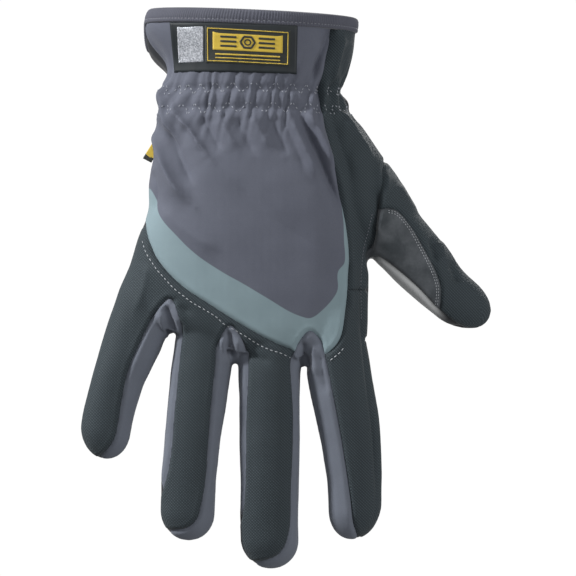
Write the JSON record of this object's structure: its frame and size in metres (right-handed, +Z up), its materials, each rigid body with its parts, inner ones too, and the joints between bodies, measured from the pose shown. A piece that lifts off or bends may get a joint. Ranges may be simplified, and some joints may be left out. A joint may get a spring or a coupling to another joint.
{
  "type": "mechanic glove",
  "caption": "Right-hand work glove in its worn form: stretch back with a knuckle band, knit finger backs, grey side strips, leather palm and an elastic wrist.",
  "frame": {"origin": "middle of the wrist opening", "axes": "+Z up out of the cuff, fingers down -Z; -Y out of the back of the hand, +Y out of the palm; +X to the thumb side"},
  "size_m": [0.186, 0.0564, 0.2514],
  "materials": {
    "binding": "fine ribbed knit binding, slate grey",
    "stretch": "smooth stretch knit, slate grey, with a paler band at the knuckles",
    "mesh": "fine diagonal knit, near black",
    "suede": "napped charcoal suede",
    "palm_leather": "thin matt synthetic leather, near black",
    "label": "smooth black label",
    "reflector": "silver glitter sheet",
    "badge": "woven badge in yellow and black"
  },
  "bodies": {
    "root": {"cuff_binding": "binding", "back_panel": "stretch", "side_panel": "mesh", "finger_back_panel": "mesh", "index_back": "mesh", "thumb_back": "mesh", "fourchette_pinky_ring": "stretch", "fourchette_ring_middle": "stretch", "fourchette_middle_index": "stretch", "thumb_patch": "suede", "palm_panel": "palm_leather", "thumb_palm": "palm_leather", "pinky_palm": "palm_leather", "ring_palm": "palm_leather", "middle_palm": "palm_leather", "index_palm": "palm_leather", "wrist_label": "label", "label_reflector": "reflector", "label_badge": "badge", "side_tag": "badge"}
  },
  "joints": []
}
